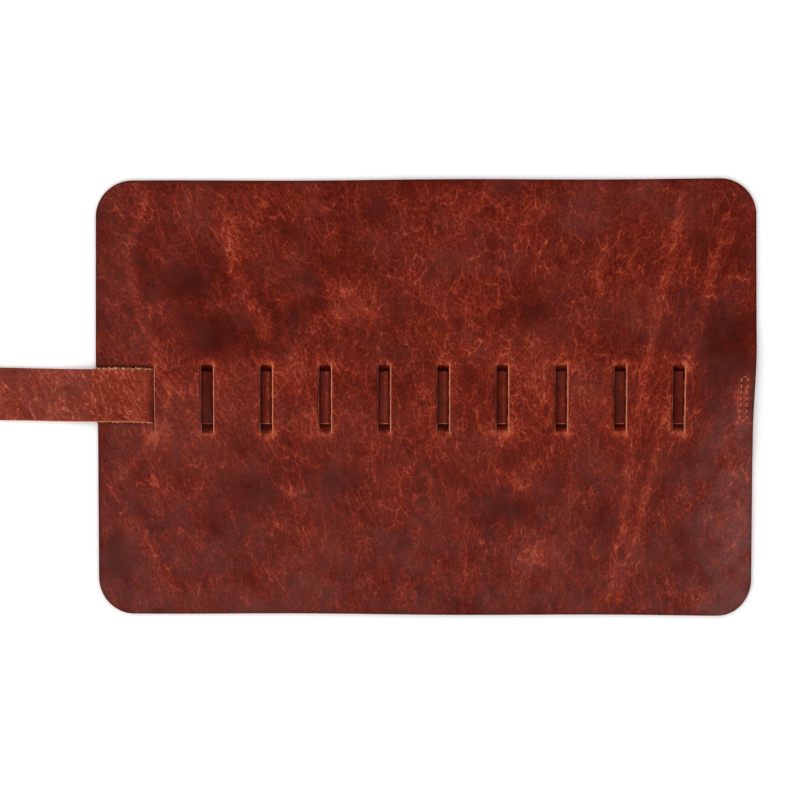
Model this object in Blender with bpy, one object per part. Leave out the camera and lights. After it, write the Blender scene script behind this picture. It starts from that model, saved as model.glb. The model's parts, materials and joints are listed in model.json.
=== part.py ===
"""Leather pencil roll, lying open and flat with its grain side up.

A rounded leather sheet has nine pairs of slits across its middle and one entry slit near its left
edge. A long strap comes from the left, enters through the first slit, and is woven through the
pairs: it runs under the sheet as ten pencil loops and shows over the narrow bridge in each pair.
Its end is sewn to the sheet at the right with a box of thread. Its free end wraps round the closed
roll.

Leather bends everywhere. Here the sheet and the strap are divided across their length into short
rigid panels, hinged to each other, so that one coupled motion curls the flat roll shut.

Metres, +Z up. X runs along the strap, positive towards the sewn end. The origin is under the middle
of the whole object's box, on the surface that it lies on.
"""
import math

import bmesh
import bpy
from mathutils import Matrix, Vector

MM = 0.001

# Driving dimensions of the two pieces of leather
LEATHER = 1.8 * MM              # thickness of both pieces
CLEARANCE = 0.3 * MM            # between pieces that lie on each other
SHEET_LENGTH = 308.9 * MM
SHEET_WIDTH = 203.2 * MM
SHEET_CORNER = 17.0 * MM
STRAP_WIDTH = 24.8 * MM
STRAP_CORNER = 9.0 * MM         # rounding of the free end

# Heights of the undersides of stacked leather
OVER = LEATHER + CLEARANCE      # one layer up: strap over a bridge, strap over the left edge
BAND = OVER + LEATHER           # two layers up: sheet over the flattened pencil loops
BAND_HALF = 18.0 * MM           # the raised band's flat top, each side of the middle
BAND_FOOT = 38.0 * MM           # where the band's slope meets the flat sheet

# Slits, measured from the sheet's left edge
ENTRY_SLIT = 27.3 * MM
ENTRY_HALF_LENGTH = 16.5 * MM
PAIR_COUNT = 9
FIRST_PAIR = 52.2 * MM
PAIR_PITCH = 27.55 * MM
PAIR_HALF_WIDTH = 2.7 * MM      # lip to lip is twice this
PAIR_HALF_LENGTH = 16.0 * MM
PAIR_SHIFT = -0.6 * MM          # the pairs sit a little off the strap's middle line
ENTRY_HALF_WIDTH = 0.9 * MM
BRIDGE_HALF_WIDTH = 1.5 * MM
RAMP = 4.0 * MM                 # length in which the strap climbs one layer
CREST_HALF = 1.6 * MM           # half of the strap's flat stretch over a bridge

# Sewn end
SEWN_MARGIN = 2.4 * MM          # from the strap's end to the sheet's right edge
STITCH_X = (301.6 * MM, 304.9 * MM)
STITCH_HALF = 10.3 * MM
THREAD_RADIUS = 0.35 * MM
HOLE_RADIUS = 0.65 * MM

# Division into panels
EDGE_PANEL = 17.6 * MM          # first panel, holds the left corners
ENTRY_PANEL = 35.0 * MM         # end of the panel with the entry slit
END_PANEL = 17.7 * MM           # last panel, holds the right corners
LAP_HINGE = -2.0 * MM           # where the strap hinges beside the sheet's left edge
WRAP_COUNT = 9
WRAP_LENGTH = 18.6 * MM
BEND_COUNT = 4
BEND_LENGTH = 14.5 * MM
TAIL_LENGTH = 66.0 * MM
END_GAP = 0.15 * MM             # from each panel's end to its hinge line

# Closed shape: a rising bend from the surface, then a spiral that tightens towards the sewn end
BEND_TOTAL = math.radians(90.0)
SPIRAL_RADIUS = 40.0 * MM       # at the strap's first wrapping hinge
SPIRAL_PITCH = 8.5 * MM         # radius lost in each full turn

# Heights of the hinge lines
STRAP_HINGE = LEATHER / 2
LAP_HINGE_HEIGHT = OVER + LEATHER / 2
SHEET_HINGE = LEATHER + 0.1 * MM

SHEET_COLOUR = (0.105, 0.022, 0.012)
STRAP_COLOUR = (0.165, 0.036, 0.018)
THREAD_COLOUR = (0.42, 0.13, 0.055)

PAIRS = [FIRST_PAIR + PAIR_PITCH * i for i in range(PAIR_COUNT)]


def hinge_lines():
    """Positions and heights of all hinge lines, from the strap's free end to the sewn end."""
    first_wrap = LAP_HINGE - WRAP_COUNT * WRAP_LENGTH
    bends = [first_wrap - BEND_LENGTH * (BEND_COUNT - i) for i in range(BEND_COUNT)]
    wraps = [first_wrap + WRAP_LENGTH * i for i in range(WRAP_COUNT)]
    sheet = [EDGE_PANEL, ENTRY_PANEL]
    for pair in PAIRS:
        sheet += [pair - PAIR_PITCH / 4, pair + PAIR_PITCH / 4]
    sheet.append(SHEET_LENGTH - END_PANEL)
    lines = [(s, STRAP_HINGE) for s in bends + wraps]
    lines.append((LAP_HINGE, LAP_HINGE_HEIGHT))
    lines += [(s, SHEET_HINGE) for s in sheet]
    return lines


def closing_angles(lines):
    """Turn of each hinge in the closed roll: negative lifts the next panel, positive curls it down."""
    angles = [-BEND_TOTAL / BEND_COUNT] * BEND_COUNT
    turned = 0.0
    places = [s for s, _ in lines] + [SHEET_LENGTH]
    for i in range(BEND_COUNT, len(lines)):
        panel_mean = (places[i + 1] - places[i - 1]) / 2
        radius = SPIRAL_RADIUS - SPIRAL_PITCH * turned / (2 * math.pi)
        angles.append(panel_mean / radius)
        turned += angles[-1]
    return angles


LINES = hinge_lines()
ANGLES = closing_angles(LINES)
FREE_END = LINES[0][0] - TAIL_LENGTH
SHIFT = -(FREE_END + SHEET_LENGTH) / 2      # puts the origin in the middle of the whole length

BODIES = ["strap_tail"]
BODIES += [f"strap_bend_{i + 1}" for i in range(BEND_COUNT)]
BODIES += [f"strap_wrap_{i + 1}" for i in range(WRAP_COUNT)]
BODIES += ["left_edge", "entry", "loop_1"]
for number in range(1, PAIR_COUNT + 1):
    BODIES += [f"slit_{number}", f"loop_{number + 1}"]
BODIES.append("right_end")
STARTS = [FREE_END] + [s for s, _ in LINES]
ENDS = [s for s, _ in LINES] + [SHEET_LENGTH]

ACROSS = Matrix(((1, 0, 0, 0), (0, 0, -1, 0), (0, 1, 0, 0), (0, 0, 0, 1)))     # XZ outline, along Y
ALONG = Matrix(((0, 0, 1, 0), (1, 0, 0, 0), (0, 1, 0, 0), (0, 0, 0, 1)))       # YZ outline, along X


def make_collection(name):
    collection = bpy.data.collections.new(name)
    bpy.context.scene.collection.children.link(collection)
    return collection


def make_material(name, colour, roughness):
    material = bpy.data.materials.new(name)
    material.use_nodes = True
    shader = material.node_tree.nodes["Principled BSDF"]
    shader.inputs["Base Color"].default_value = (*colour, 1.0)
    shader.inputs["Roughness"].default_value = roughness
    shader.inputs["Metallic"].default_value = 0.0
    return material


def curve_to_mesh(name, curve, place):
    """A curve object made into one closed, welded mesh object in world coordinates."""
    source = bpy.data.objects.new(name + "_curve", curve)
    bpy.context.scene.collection.objects.link(source)
    evaluated = source.evaluated_get(bpy.context.evaluated_depsgraph_get())
    mesh = bpy.data.meshes.new_from_object(evaluated)
    mesh.name = name
    bpy.data.objects.remove(source)
    mesh.transform(place)
    bm = bmesh.new()
    bm.from_mesh(mesh)
    bmesh.ops.remove_doubles(bm, verts=bm.verts, dist=0.01 * MM)
    bmesh.ops.dissolve_limit(bm, angle_limit=math.radians(1), verts=bm.verts, edges=bm.edges)
    bmesh.ops.recalc_face_normals(bm, faces=bm.faces)
    bm.to_mesh(mesh)
    bm.free()
    return bpy.data.objects.new(name, mesh)


def extruded(name, outline, depth, place):
    """A closed outline given depth on both sides of its own plane."""
    curve = bpy.data.curves.new(name, "CURVE")
    curve.dimensions = "2D"
    curve.fill_mode = "BOTH"
    curve.extrude = depth / 2
    spline = curve.splines.new("POLY")
    spline.points.add(len(outline) - 1)
    spline.use_cyclic_u = True
    for point, (u, v) in zip(spline.points, outline):
        point.co = (u, v, 0.0, 1.0)
    return curve_to_mesh(name, curve, place)


def strap_piece(name, bottom, top):
    """Strap with the given underside and upper side, both from left to right."""
    outline = [(s + SHIFT, z) for s, z in bottom + top[::-1]]
    return extruded(name, outline, STRAP_WIDTH, ACROSS)


def sheet_piece(name, start, end, height):
    """Sheet between two places, with its middle band raised to the given height."""
    edge = SHEET_WIDTH / 2
    bottom = [(-edge, 0.0), (-BAND_FOOT, 0.0), (-BAND_HALF, height)]
    bottom += [(-y, z) for y, z in bottom[::-1]]
    outline = bottom + [(y, z + LEATHER) for y, z in bottom[::-1]]
    middle = Matrix.Translation(((start + end) / 2 + SHIFT, 0, 0))
    return extruded(name, outline, end - start, middle @ ALONG)


def block(name, low, high):
    """A box between two corners."""
    mesh = bpy.data.meshes.new(name)
    bm = bmesh.new()
    bmesh.ops.create_cube(bm, size=1.0)
    size = Vector(high) - Vector(low)
    middle = (Vector(high) + Vector(low)) / 2
    bmesh.ops.scale(bm, vec=size, verts=bm.verts)
    bmesh.ops.translate(bm, vec=middle, verts=bm.verts)
    bm.to_mesh(mesh)
    bm.free()
    return bpy.data.objects.new(name, mesh)


def strap_block(name, start, end, height):
    half = STRAP_WIDTH / 2
    return block(name, (start + SHIFT, -half, height), (end + SHIFT, half, height + LEATHER))


def round_corners(piece, place, radius):
    """Rounds the two upright corner edges at one end of a piece."""
    bm = bmesh.new()
    bm.from_mesh(piece.data)
    reach = max(abs(v.co.y) for v in bm.verts)
    upright = [e for e in bm.edges
               if all(abs(v.co.x - place - SHIFT) < 0.01 * MM for v in e.verts)
               and all(abs(abs(v.co.y) - reach) < 0.01 * MM for v in e.verts)
               and abs(e.verts[0].co.z - e.verts[1].co.z) > 0.1 * MM]
    bmesh.ops.bevel(bm, geom=upright, offset=radius, segments=8, profile=0.5, affect="EDGES")
    bm.to_mesh(piece.data)
    bm.free()


def cut_flat(mesh, point, normal):
    """Removes what lies beyond a plane and closes the cut."""
    bm = bmesh.new()
    bm.from_mesh(mesh)
    everything = bm.verts[:] + bm.edges[:] + bm.faces[:]
    bmesh.ops.bisect_plane(bm, geom=everything, dist=1e-7, plane_co=point, plane_no=normal,
                           clear_outer=True)
    bmesh.ops.holes_fill(bm, edges=[e for e in bm.edges if e.is_boundary], sides=0)
    bmesh.ops.recalc_face_normals(bm, faces=bm.faces)
    bm.to_mesh(mesh)
    bm.free()


def trim_to_hinge(piece, line, side):
    """Ends a panel at a hinge line: upright, and mitred where closing brings the panels together."""
    s, height = LINES[line]
    point = Vector((s + SHIFT - side * END_GAP, 0.0, height))
    cut_flat(piece.data, point, (side, 0.0, 0.0))
    half_turn = ANGLES[line] / 2
    cut_flat(piece.data, point, (side * math.cos(half_turn), 0.0, -math.sin(half_turn)))


def boolean(piece, other, operation):
    modifier = piece.modifiers.new(other.name, "BOOLEAN")
    modifier.operation = operation
    modifier.solver = "EXACT"
    modifier.object = other
    other.hide_render = True
    other.display_type = "WIRE"
    CUTTERS.objects.link(other)


def strap_over_crest(start, end, crest_start, crest_end):
    """Underside and upper side of strap that climbs one layer, runs level, and comes down again."""
    slope = math.atan2(OVER, RAMP)
    lead = LEATHER * math.tan(slope / 2)
    bottom = [(start, 0.0), (crest_start - RAMP, 0.0), (crest_start, OVER),
              (crest_end, OVER), (crest_end + RAMP, 0.0), (end, 0.0)]
    leads = [0.0, -lead, -lead, lead, lead, 0.0]
    top = [(s + shift, z + LEATHER) for (s, z), shift in zip(bottom, leads)]
    return bottom, top


def make_tail():
    tail = strap_block("strap_tail", STARTS[0], ENDS[0] + END_GAP, 0.0)
    round_corners(tail, STARTS[0], STRAP_CORNER)
    return tail


def make_lap_strap(name, start, end):
    """Strap that climbs from the surface to the top of the sheet's left edge."""
    climb_start, climb_end = -14.0 * MM, -4.5 * MM
    lead = LEATHER * math.tan(math.atan2(OVER, climb_end - climb_start) / 2)
    bottom = [(start, 0.0), (climb_start, 0.0), (climb_end, OVER), (end, OVER)]
    leads = [0.0, -lead, -lead, 0.0]
    top = [(s + shift, z + LEATHER) for (s, z), shift in zip(bottom, leads)]
    return strap_piece(name, bottom, top)


def make_entry_strap(name, start, end):
    """Strap that goes down through the entry slit."""
    crest_end = ENTRY_SLIT - ENTRY_HALF_WIDTH
    bottom, top = strap_over_crest(start, end, start, crest_end)
    return strap_piece(name, [(start, OVER)] + bottom[3:], [(start, BAND)] + top[3:])


def make_entry_panel(name, start, end):
    """Flat before the slit, raised over the loops after it, with the slit cut between."""
    overlap = 0.2 * MM
    panel = sheet_piece(name, start, ENTRY_SLIT + overlap, 0.0)
    raised = sheet_piece(name + "_raised_half", ENTRY_SLIT - overlap, end, BAND)
    trim_to_hinge(raised, BODIES.index("entry"), 1)
    boolean(panel, raised, "UNION")
    slit = block(name + "_slit",
                 (ENTRY_SLIT - ENTRY_HALF_WIDTH + SHIFT, -ENTRY_HALF_LENGTH, -LEATHER),
                 (ENTRY_SLIT + ENTRY_HALF_WIDTH + SHIFT, ENTRY_HALF_LENGTH, BAND + 2 * LEATHER))
    boolean(panel, slit, "DIFFERENCE")
    return panel


def make_slit_panel(name, start, end, pair):
    """Raised sheet with an opening between a pair of slits and the bridge pressed down in it."""
    panel = sheet_piece(name, start, end, BAND)
    low_end = PAIR_SHIFT - PAIR_HALF_LENGTH
    high_end = PAIR_SHIFT + PAIR_HALF_LENGTH
    opening = block(name + "_opening",
                    (pair - PAIR_HALF_WIDTH + SHIFT, low_end, -LEATHER),
                    (pair + PAIR_HALF_WIDTH + SHIFT, high_end, BAND + 2 * LEATHER))
    boolean(panel, opening, "DIFFERENCE")
    inset = 0.2 * MM
    root = 1.4 * MM
    foot = STRAP_WIDTH / 2 + 2 * CLEARANCE
    top = [(low_end - root, BAND + LEATHER - inset), (low_end, BAND + LEATHER - inset),
           (-foot, LEATHER), (foot, LEATHER),
           (high_end, BAND + LEATHER - inset), (high_end + root, BAND + LEATHER - inset)]
    drift = [0.0, -0.8 * MM, -0.8 * MM, 0.8 * MM, 0.8 * MM, 0.0]
    bottom_height = [BAND + inset, BAND + inset, 0.0, 0.0, BAND + inset, BAND + inset]
    bottom = [(y + shift, z) for (y, _), shift, z in zip(top, drift, bottom_height)]
    middle = Matrix.Translation((pair + SHIFT, 0, 0))
    bridge = extruded(name + "_bridge", top + bottom[::-1], 2 * BRIDGE_HALF_WIDTH, middle @ ALONG)
    boolean(panel, bridge, "UNION")
    return panel


def thread_corners():
    return [(s, y) for s in STITCH_X for y in (-STITCH_HALF, STITCH_HALF)]


def peg(name, s, y, radius, low, high):
    """An upright round peg, for a needle hole or a leg of thread."""
    mesh = bpy.data.meshes.new(name)
    bm = bmesh.new()
    bmesh.ops.create_cone(bm, cap_ends=True, segments=10, radius1=radius, radius2=radius,
                          depth=high - low)
    bmesh.ops.translate(bm, vec=(s + SHIFT, y, (low + high) / 2), verts=bm.verts)
    bm.to_mesh(mesh)
    bm.free()
    return bpy.data.objects.new(name, mesh)


def pierce(piece):
    """The box stitch's four corner holes."""
    for number, (s, y) in enumerate(thread_corners(), 1):
        hole = peg(f"{piece.name}_hole_{number}", s, y, HOLE_RADIUS, -LEATHER, BAND + LEATHER)
        boolean(piece, hole, "DIFFERENCE")


def make_box_stitch():
    """A rectangle of thread on the sheet, with a leg down through each corner hole."""
    height = OVER + LEATHER + CLEARANCE + THREAD_RADIUS
    curve = bpy.data.curves.new("box_stitch", "CURVE")
    curve.dimensions = "3D"
    curve.bevel_depth = THREAD_RADIUS
    curve.bevel_resolution = 2
    spline = curve.splines.new("POLY")
    spline.points.add(3)
    spline.use_cyclic_u = True
    left, right = STITCH_X
    corners = [(left, -STITCH_HALF), (right, -STITCH_HALF), (right, STITCH_HALF), (left, STITCH_HALF)]
    for point, (s, y) in zip(spline.points, corners):
        point.co = (s + SHIFT, y, height, 1.0)
    stitch = curve_to_mesh("box_stitch", curve, Matrix.Identity(4))
    for number, (s, y) in enumerate(thread_corners(), 1):
        leg = peg(f"box_stitch_leg_{number}", s, y, THREAD_RADIUS * 0.9, CLEARANCE, height)
        boolean(stitch, leg, "UNION")
    return stitch


def make_panel(body, start, end):
    """The sheet's panel that belongs to a body."""
    name = "panel_" + body
    if body == "left_edge":
        panel = sheet_piece(name, 0.0, end, 0.0)
        round_corners(panel, 0.0, SHEET_CORNER)
    elif body == "entry":
        panel = make_entry_panel(name, start, end)
    elif body == "right_end":
        panel = sheet_piece(name, start, end, OVER)
        round_corners(panel, end, SHEET_CORNER)
        pierce(panel)
    elif body.startswith("slit"):
        panel = make_slit_panel(name, start, end, (start + end) / 2)
    else:
        panel = sheet_piece(name, start, end, BAND)
    return panel


def make_strap(body, start, end):
    """The strap's piece that belongs to a body."""
    name = body if body.startswith("strap") else "strap_" + body
    if body == "strap_tail":
        strap = make_tail()
    elif body == f"strap_wrap_{WRAP_COUNT}":
        strap = make_lap_strap(name, start, end)
    elif body == "left_edge":
        strap = strap_block(name, start, end, OVER)
    elif body == "entry":
        strap = make_entry_strap(name, start, end)
    elif body.startswith("slit"):
        pair = (start + end) / 2
        strap = strap_piece(name, *strap_over_crest(start, end, pair - CREST_HALF, pair + CREST_HALF))
    elif body == "right_end":
        strap = strap_block(name, start, end - SEWN_MARGIN, 0.0)
        pierce(strap)
    else:
        strap = strap_block(name, start, end, 0.0)
    return strap


def make_hinges():
    """An empty on every hinge line, each the child of the one before."""
    hinges = []
    for number, (s, z) in enumerate(LINES):
        empty = bpy.data.objects.new(f"hinge_{BODIES[number + 1]}", None)
        empty.empty_display_size = 5 * MM
        place = Vector((s + SHIFT, 0.0, z))
        if hinges:
            parent, parent_place = hinges[-1]
            empty.parent = parent
            empty.location = place - parent_place
        else:
            empty.location = place
        OBJECT.objects.link(empty)
        hinges.append((empty, place))
    return hinges


def hang_on_hinge(piece, hinge):
    """Moves a piece's origin to its hinge and parents it there, with what cuts it."""
    empty, place = hinge
    for thing in [piece] + [modifier.object for modifier in piece.modifiers]:
        thing.data.transform(Matrix.Translation(-place))
        thing.parent = empty


def main():
    strap_leather = (STRAP_COLOUR, 0.5)
    sheet_leather = (SHEET_COLOUR, 0.45)
    hinges = make_hinges()
    for number, body in enumerate(BODIES):
        start, end = STARTS[number], ENDS[number]
        pieces = [(make_strap(body, start, end), strap_leather)]
        if number > BODIES.index(f"strap_wrap_{WRAP_COUNT}"):
            pieces.append((make_panel(body, start, end), sheet_leather))
        for piece, _ in pieces:
            if number > 0:
                trim_to_hinge(piece, number - 1, -1)
            if number < len(LINES):
                trim_to_hinge(piece, number, 1)
        if body == "right_end":
            pieces.append((make_box_stitch(), (THREAD_COLOUR, 0.7)))
        for piece, (colour, roughness) in pieces:
            piece.data.materials.clear()
            piece.data.materials.append(make_material(piece.name, colour, roughness))
            OBJECT.objects.link(piece)
            if number > 0:
                hang_on_hinge(piece, hinges[number - 1])


for leftover in list(bpy.data.objects):
    bpy.data.objects.remove(leftover)
OBJECT = make_collection("pencil_roll")
CUTTERS = make_collection("cutters")
main()
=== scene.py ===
# %% [markdown]
# # A leather pencil roll, open and flat
# The roll is two pieces of leather and a little thread. A rounded sheet has a row of slits across its
# middle, and a long strap is woven through them. In this lesson each piece is built round a finished
# mechanical frame: the frame says where every hinge line is, and the leather is laid over it.

# %% Load the frame
import json
import math

import bmesh
import bpy
import numpy as np
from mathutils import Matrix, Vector

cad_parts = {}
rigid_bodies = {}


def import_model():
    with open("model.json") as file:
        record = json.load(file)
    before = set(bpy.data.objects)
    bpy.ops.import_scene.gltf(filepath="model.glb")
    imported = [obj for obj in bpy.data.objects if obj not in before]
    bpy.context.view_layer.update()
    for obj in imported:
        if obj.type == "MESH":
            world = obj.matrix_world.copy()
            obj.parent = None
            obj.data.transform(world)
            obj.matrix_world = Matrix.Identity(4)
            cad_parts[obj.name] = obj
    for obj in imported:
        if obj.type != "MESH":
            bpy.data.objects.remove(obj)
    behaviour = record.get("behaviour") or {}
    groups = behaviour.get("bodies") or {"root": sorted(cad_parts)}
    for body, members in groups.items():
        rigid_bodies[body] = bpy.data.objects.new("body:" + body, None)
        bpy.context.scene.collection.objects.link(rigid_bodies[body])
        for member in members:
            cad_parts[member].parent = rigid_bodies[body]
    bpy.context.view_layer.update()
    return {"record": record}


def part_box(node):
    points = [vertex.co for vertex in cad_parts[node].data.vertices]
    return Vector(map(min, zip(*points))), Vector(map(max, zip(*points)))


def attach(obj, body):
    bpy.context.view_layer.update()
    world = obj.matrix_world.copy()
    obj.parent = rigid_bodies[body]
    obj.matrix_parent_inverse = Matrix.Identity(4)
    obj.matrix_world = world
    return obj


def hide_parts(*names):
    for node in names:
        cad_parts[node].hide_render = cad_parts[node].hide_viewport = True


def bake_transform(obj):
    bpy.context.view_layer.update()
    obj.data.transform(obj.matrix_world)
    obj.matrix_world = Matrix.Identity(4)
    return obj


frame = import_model()
MM = 0.001

# %% [markdown]
# The hinges form one chain, from the strap's free tail to the sewn end of the sheet. Reading them in
# order gives the bodies' names and where each body begins and ends. Leather bends smoothly, so later
# each piece of leather will reach from the middle of one body to the middle of the next.

# %% Read the chain of bodies
hinges = frame["record"]["behaviour"]["joints"]
BODIES = [hinges[0]["parent"]] + [hinge["child"] for hinge in hinges]
HINGE_X = [hinge["pos_m"][0] for hinge in hinges]
SHEET_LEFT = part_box("panel_left_edge")[0][0]
SHEET_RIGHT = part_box("panel_right_end")[1][0]
SHEET_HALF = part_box("panel_left_edge")[1][1]
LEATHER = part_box("panel_left_edge")[1][2]
STRAP_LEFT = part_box("strap_tail")[0][0]
STRAP_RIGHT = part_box("strap_right_end")[1][0]
PAIR_X = [sum(corner[0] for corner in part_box(f"strap_slit_{n}")) / 2 for n in range(1, 10)]
edges = [STRAP_LEFT] + HINGE_X + [SHEET_RIGHT]
MIDDLES = {body: (edges[i] + edges[i + 1]) / 2 for i, body in enumerate(BODIES)}
BEND_REACH = 4.2 * MM           # leather each side of a hinge that takes part in the bend
ON_LINE = 1e-5                  # points nearer to a line than this lie on it


def bend_span(body):
    """Where the bend between a body and the next one starts and ends."""
    hinge = HINGE_X[BODIES.index(body)]
    return {"start": (hinge - BEND_REACH, 0, 0), "end": (hinge + BEND_REACH, 0, 0)}


print(len(BODIES), "bodies,", len(PAIR_X), "slit pairs, leather", round(LEATHER / MM, 2), "mm thick")

# %% [markdown]
# ## Measures of the leather
# The frame gives the outlines. The rest is how leather behaves: the sheet bulges over the strap, cut
# lips stand up, and nothing cut by hand is quite straight.

# %% Measures of the leather
CORNER = 17.0 * MM              # radius of the sheet's corners
TAIL_ROUND = 9.0 * MM           # how far the strap's tail is rounded
RIM_DROP, RIM_REACH = 0.3 * MM, 0.35 * MM        # how a cut rim is rounded over by wear
RIM_ROW = 0.4 * MM              # the outermost row of faces, which turns over the rim
BAND_LIFT = 3.9 * MM            # the sheet's rise over strap and slack loops
SEWN_LIFT = 2.1 * MM            # its rise over the sewn end
BAND_TOP = 14.5 * MM            # half width of the raised band's top
BAND_FOOT = 41.0 * MM           # where the band has run out
ENTRY_X = SHEET_LEFT + 27.3 * MM                 # the slit where the strap dives in, and its ends
ENTRY_Y = (-16.9 * MM, 14.6 * MM)
ENTRY_LIFT = 3.2 * MM           # how far the strap pushes that slit's mouth up
PAIR_Y = (-17.0 * MM, 15.3 * MM)                 # the ends of a pair of slits
PAIR_HALF = 2.75 * MM           # half the distance between the two slits of a pair
STRAP_HALF = 12.3 * MM
SHEET_MIDDLE = (SHEET_LEFT + SHEET_RIGHT) / 2
SHEET_REACH = (SHEET_RIGHT - SHEET_LEFT) / 2


def smooth(low, high, value):
    """0 below low, 1 above high, and a soft step between."""
    t = np.clip((value - low) / (high - low), 0.0, 1.0)
    return t * t * (3 - 2 * t)


def bell(value, width):
    """1 at zero, dying out over the width."""
    return np.exp(-((value / width) ** 2))


def to_rim(x, y):
    """How far a point of the flat pattern is from the sheet's outline."""
    return np.minimum(np.minimum(x - SHEET_LEFT, SHEET_RIGHT - x), SHEET_HALF - np.abs(y))


def along_slit(y, span):
    """1 along the middle of a slit, falling to 0 at its two ends."""
    middle, reach = (span[0] + span[1]) / 2, (span[1] - span[0]) / 2
    t = np.clip(np.abs(y - middle) / reach, 0.0, 1.0)
    return (1 - t**4) ** 0.6


print("the band is raised", round(BAND_LIFT / MM, 1), "mm")

# %% [markdown]
# ## The shape of the sheet
# The sheet is a height over the table for every point of a flat pattern. It lies on the table at its
# sides and rises gently to the band over the strap. At each slit the outer lip curls up a little, so
# that the pale cut edge shows from above. Between the two slits of a pair a narrow bridge is pressed
# down under the strap.

# %% The sheet's shape


def sheet_height(x, y, side):
    """Height of the grain side. side is -1 left of a slit line and 1 right of it."""
    along = x - SHEET_LEFT
    lift = BAND_LIFT * smooth(23 * MM, 37 * MM, along)
    lift -= (BAND_LIFT - SEWN_LIFT) * smooth(283 * MM, 299 * MM, along)
    across = 1 - smooth(BAND_TOP, BAND_FOOT, np.abs(y))
    height = LEATHER + lift * across
    height += 0.35 * MM * (1 + np.sin(along / (41 * MM) + 0.6) * np.cos(y / (33 * MM) + 0.5)) * (
        smooth(20 * MM, 60 * MM, np.abs(y)))
    curl = smooth(-60 * MM, 0.0, x - SHEET_RIGHT) * bell(y - 26 * MM, 46 * MM)
    height += 0.4 * MM * curl * (1 - 0.6 * across)
    past_entry = 1 - smooth(0.0, 9.5 * MM, x - ENTRY_X)
    middle, reach = sum(ENTRY_Y) / 2, (ENTRY_Y[1] - ENTRY_Y[0]) / 2
    arch = 1 - np.clip(np.abs(y - middle) / reach, 0, 1) ** 4
    mouth = np.where((x > ENTRY_X - 0.5 * MM) & (side > 0), past_entry, 0.0)
    bevel = 0.25 * MM * np.exp(-np.maximum(x - ENTRY_X, 0) / (0.25 * MM))
    height += (ENTRY_LIFT - bevel) * arch * mouth
    for end in ENTRY_Y:
        height += 0.8 * MM * bell(y - end, 4.0 * MM) * bell(x - ENTRY_X - 4 * MM, 6 * MM)
    for pair in PAIR_X:
        away = np.abs(x - pair) - PAIR_HALF
        curl_up = np.where(x < pair, 0.26 * MM, 0.42 * MM)
        near = (away > -0.5 * MM) & (away < 9 * MM)
        bevel = 0.20 * MM * np.exp(-np.maximum(away, 0) / (0.22 * MM))
        lip = curl_up * np.exp(-np.clip(away, -0.5 * MM, None) / (1.4 * MM)) - bevel
        height += along_slit(y, PAIR_Y) * np.where(near, lip, 0.0)
        for end in PAIR_Y:
            height -= 0.35 * MM * bell(away, 1.6 * MM) * bell(y - end, 1.5 * MM)
    return height


def bridge_height(y):
    """Height of a bridge's grain side: level with the sheet at its ends, pressed down in between."""
    level = LEATHER + BAND_LIFT
    pressed = LEATHER + 0.1 * MM
    rise = np.where(y > 0, smooth(STRAP_HALF + 0.1 * MM, PAIR_Y[1], y),
                    smooth(STRAP_HALF + 0.3 * MM, -PAIR_Y[0], -y))
    return pressed + (level - pressed) * rise


def outline_drift(x, y):
    """How far the hand-cut outline strays from a true rectangle."""
    u = (x - SHEET_MIDDLE) / SHEET_REACH
    v = y / SHEET_HALF
    right = -1.9 * MM * (1 - smooth(-0.2, 0.25, v)) - 0.9 * MM * np.clip(-v - 0.2, 0, 1)
    left = 1.1 * MM * (1 - smooth(-0.2, 0.2, v)) + 0.7 * MM * np.clip(-v - 0.2, 0, 1)
    dx = right * ((1 + u) / 2) ** 9 + left * np.clip((1 - u) / 2, 0, 1) ** 9
    dy = 0.6 * MM * u * v + 0.2 * MM * v**5 * np.sin(u * 7 + 1)
    return dx, dy


print("sheet", round(2 * SHEET_REACH / MM, 1), "x", round(2 * SHEET_HALF / MM, 1), "mm")

# %% [markdown]
# The knife never stood quite upright, so the cut walls lean. Where a wall leans outwards below, its
# pale fibres show from above as a thin line. This gives, for each rim point, how far the lower edge
# stands out from the upper one.

# %% How the cut walls lean
LEAN_LEFT, LEAN_RIGHT, LEAN_MOUTH = 0.10 * MM, 0.34 * MM, 0.42 * MM


def sheet_lean(x, y, tag):
    """Sideways reach of the sheet's underside at its slits and edges."""
    dx, dy = np.zeros_like(x), np.zeros_like(x)
    ragged = 1 + 0.35 * np.sin(y / (0.9 * MM)) + 0.3 * np.sin(y / (2.3 * MM) + x)
    for pair in PAIR_X:
        at_left = (np.abs(x - pair + PAIR_HALF) < ON_LINE) & (tag < 0)
        at_right = (np.abs(x - pair - PAIR_HALF) < ON_LINE) & (tag > 0) & (tag < 2)
        open_here = along_slit(y, PAIR_Y)
        dx += np.where(at_left, LEAN_LEFT * open_here * ragged, 0.0)
        dx -= np.where(at_right, LEAN_RIGHT * open_here * ragged, 0.0)
    at_mouth = (np.abs(x - ENTRY_X) < ON_LINE) & (tag > 0) & (tag < 2)
    dx -= np.where(at_mouth, LEAN_MOUTH * along_slit(y, ENTRY_Y) * ragged, 0.0)
    at_left_edge = (x < SHEET_LEFT + ON_LINE) & (y < 30 * MM) & (y > -60 * MM)
    dx -= np.where(at_left_edge, 0.22 * MM * ragged, 0.0)
    return dx, dy


def strap_lean(x, y, tag):
    """The strap's wall shows along its near edge, and hides along the far one."""
    rough = 1 + 0.3 * np.sin(x / (1.1 * MM)) + 0.25 * np.sin(x / (2.9 * MM) + 1)
    over_sheet = smooth(-9 * MM, -2 * MM, x - SHEET_LEFT)
    near = (0.16 + 0.24 * over_sheet) * MM * rough
    dy = np.where(y < -STRAP_HALF + ON_LINE, -near, 0.0)
    dy = np.where(y > STRAP_HALF - ON_LINE, -0.2 * MM, dy)
    return np.zeros_like(x), dy


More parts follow.
